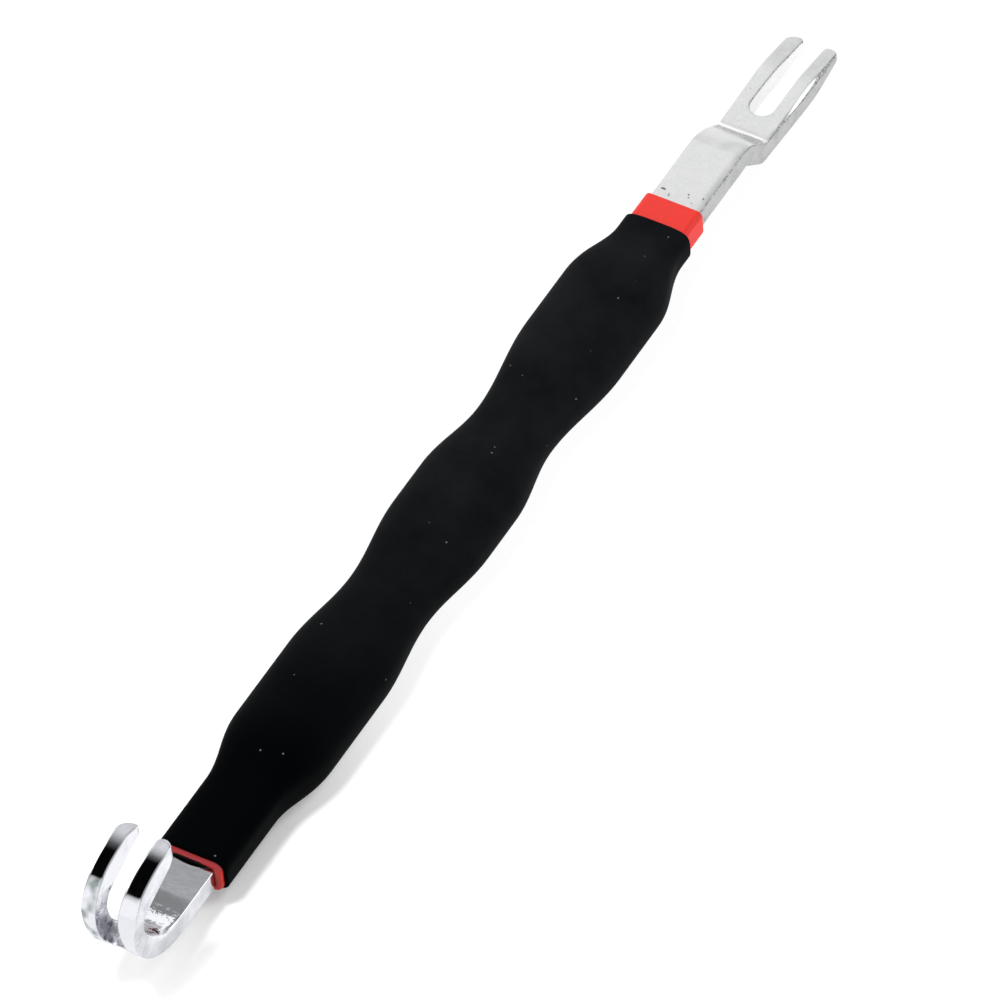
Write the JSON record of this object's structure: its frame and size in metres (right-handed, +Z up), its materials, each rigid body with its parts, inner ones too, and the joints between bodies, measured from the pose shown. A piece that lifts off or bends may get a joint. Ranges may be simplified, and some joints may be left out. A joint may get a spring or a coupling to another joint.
{
  "type": "terminal removal tool",
  "caption": "Slim hand tool for removing terminals and trim clips: a plated steel bar with a curled, slotted hook and a cranked fork, held by a wavy soft grip over a thin red sleeve.",
  "frame": {"origin": "on the ground, under the middle of the tool's overall length and width", "axes": "+X along the bar from the hook to the fork, +Y across the bar, +Z up, the side the hook curls towards"},
  "size_m": [0.2566, 0.0206, 0.0297],
  "materials": {
    "plated_steel": "bright plating, mirror-like on the hook, satin and lightly pitted on the neck and fork",
    "red_vinyl": "semi-gloss moulded vinyl",
    "black_rubber": "matte soft rubber with faint mottling and a few specks of dust"
  },
  "bodies": {
    "root": {"steel_bar": "plated_steel", "red_inner_sleeve": "red_vinyl", "black_outer_grip": "black_rubber"}
  },
  "joints": []
}
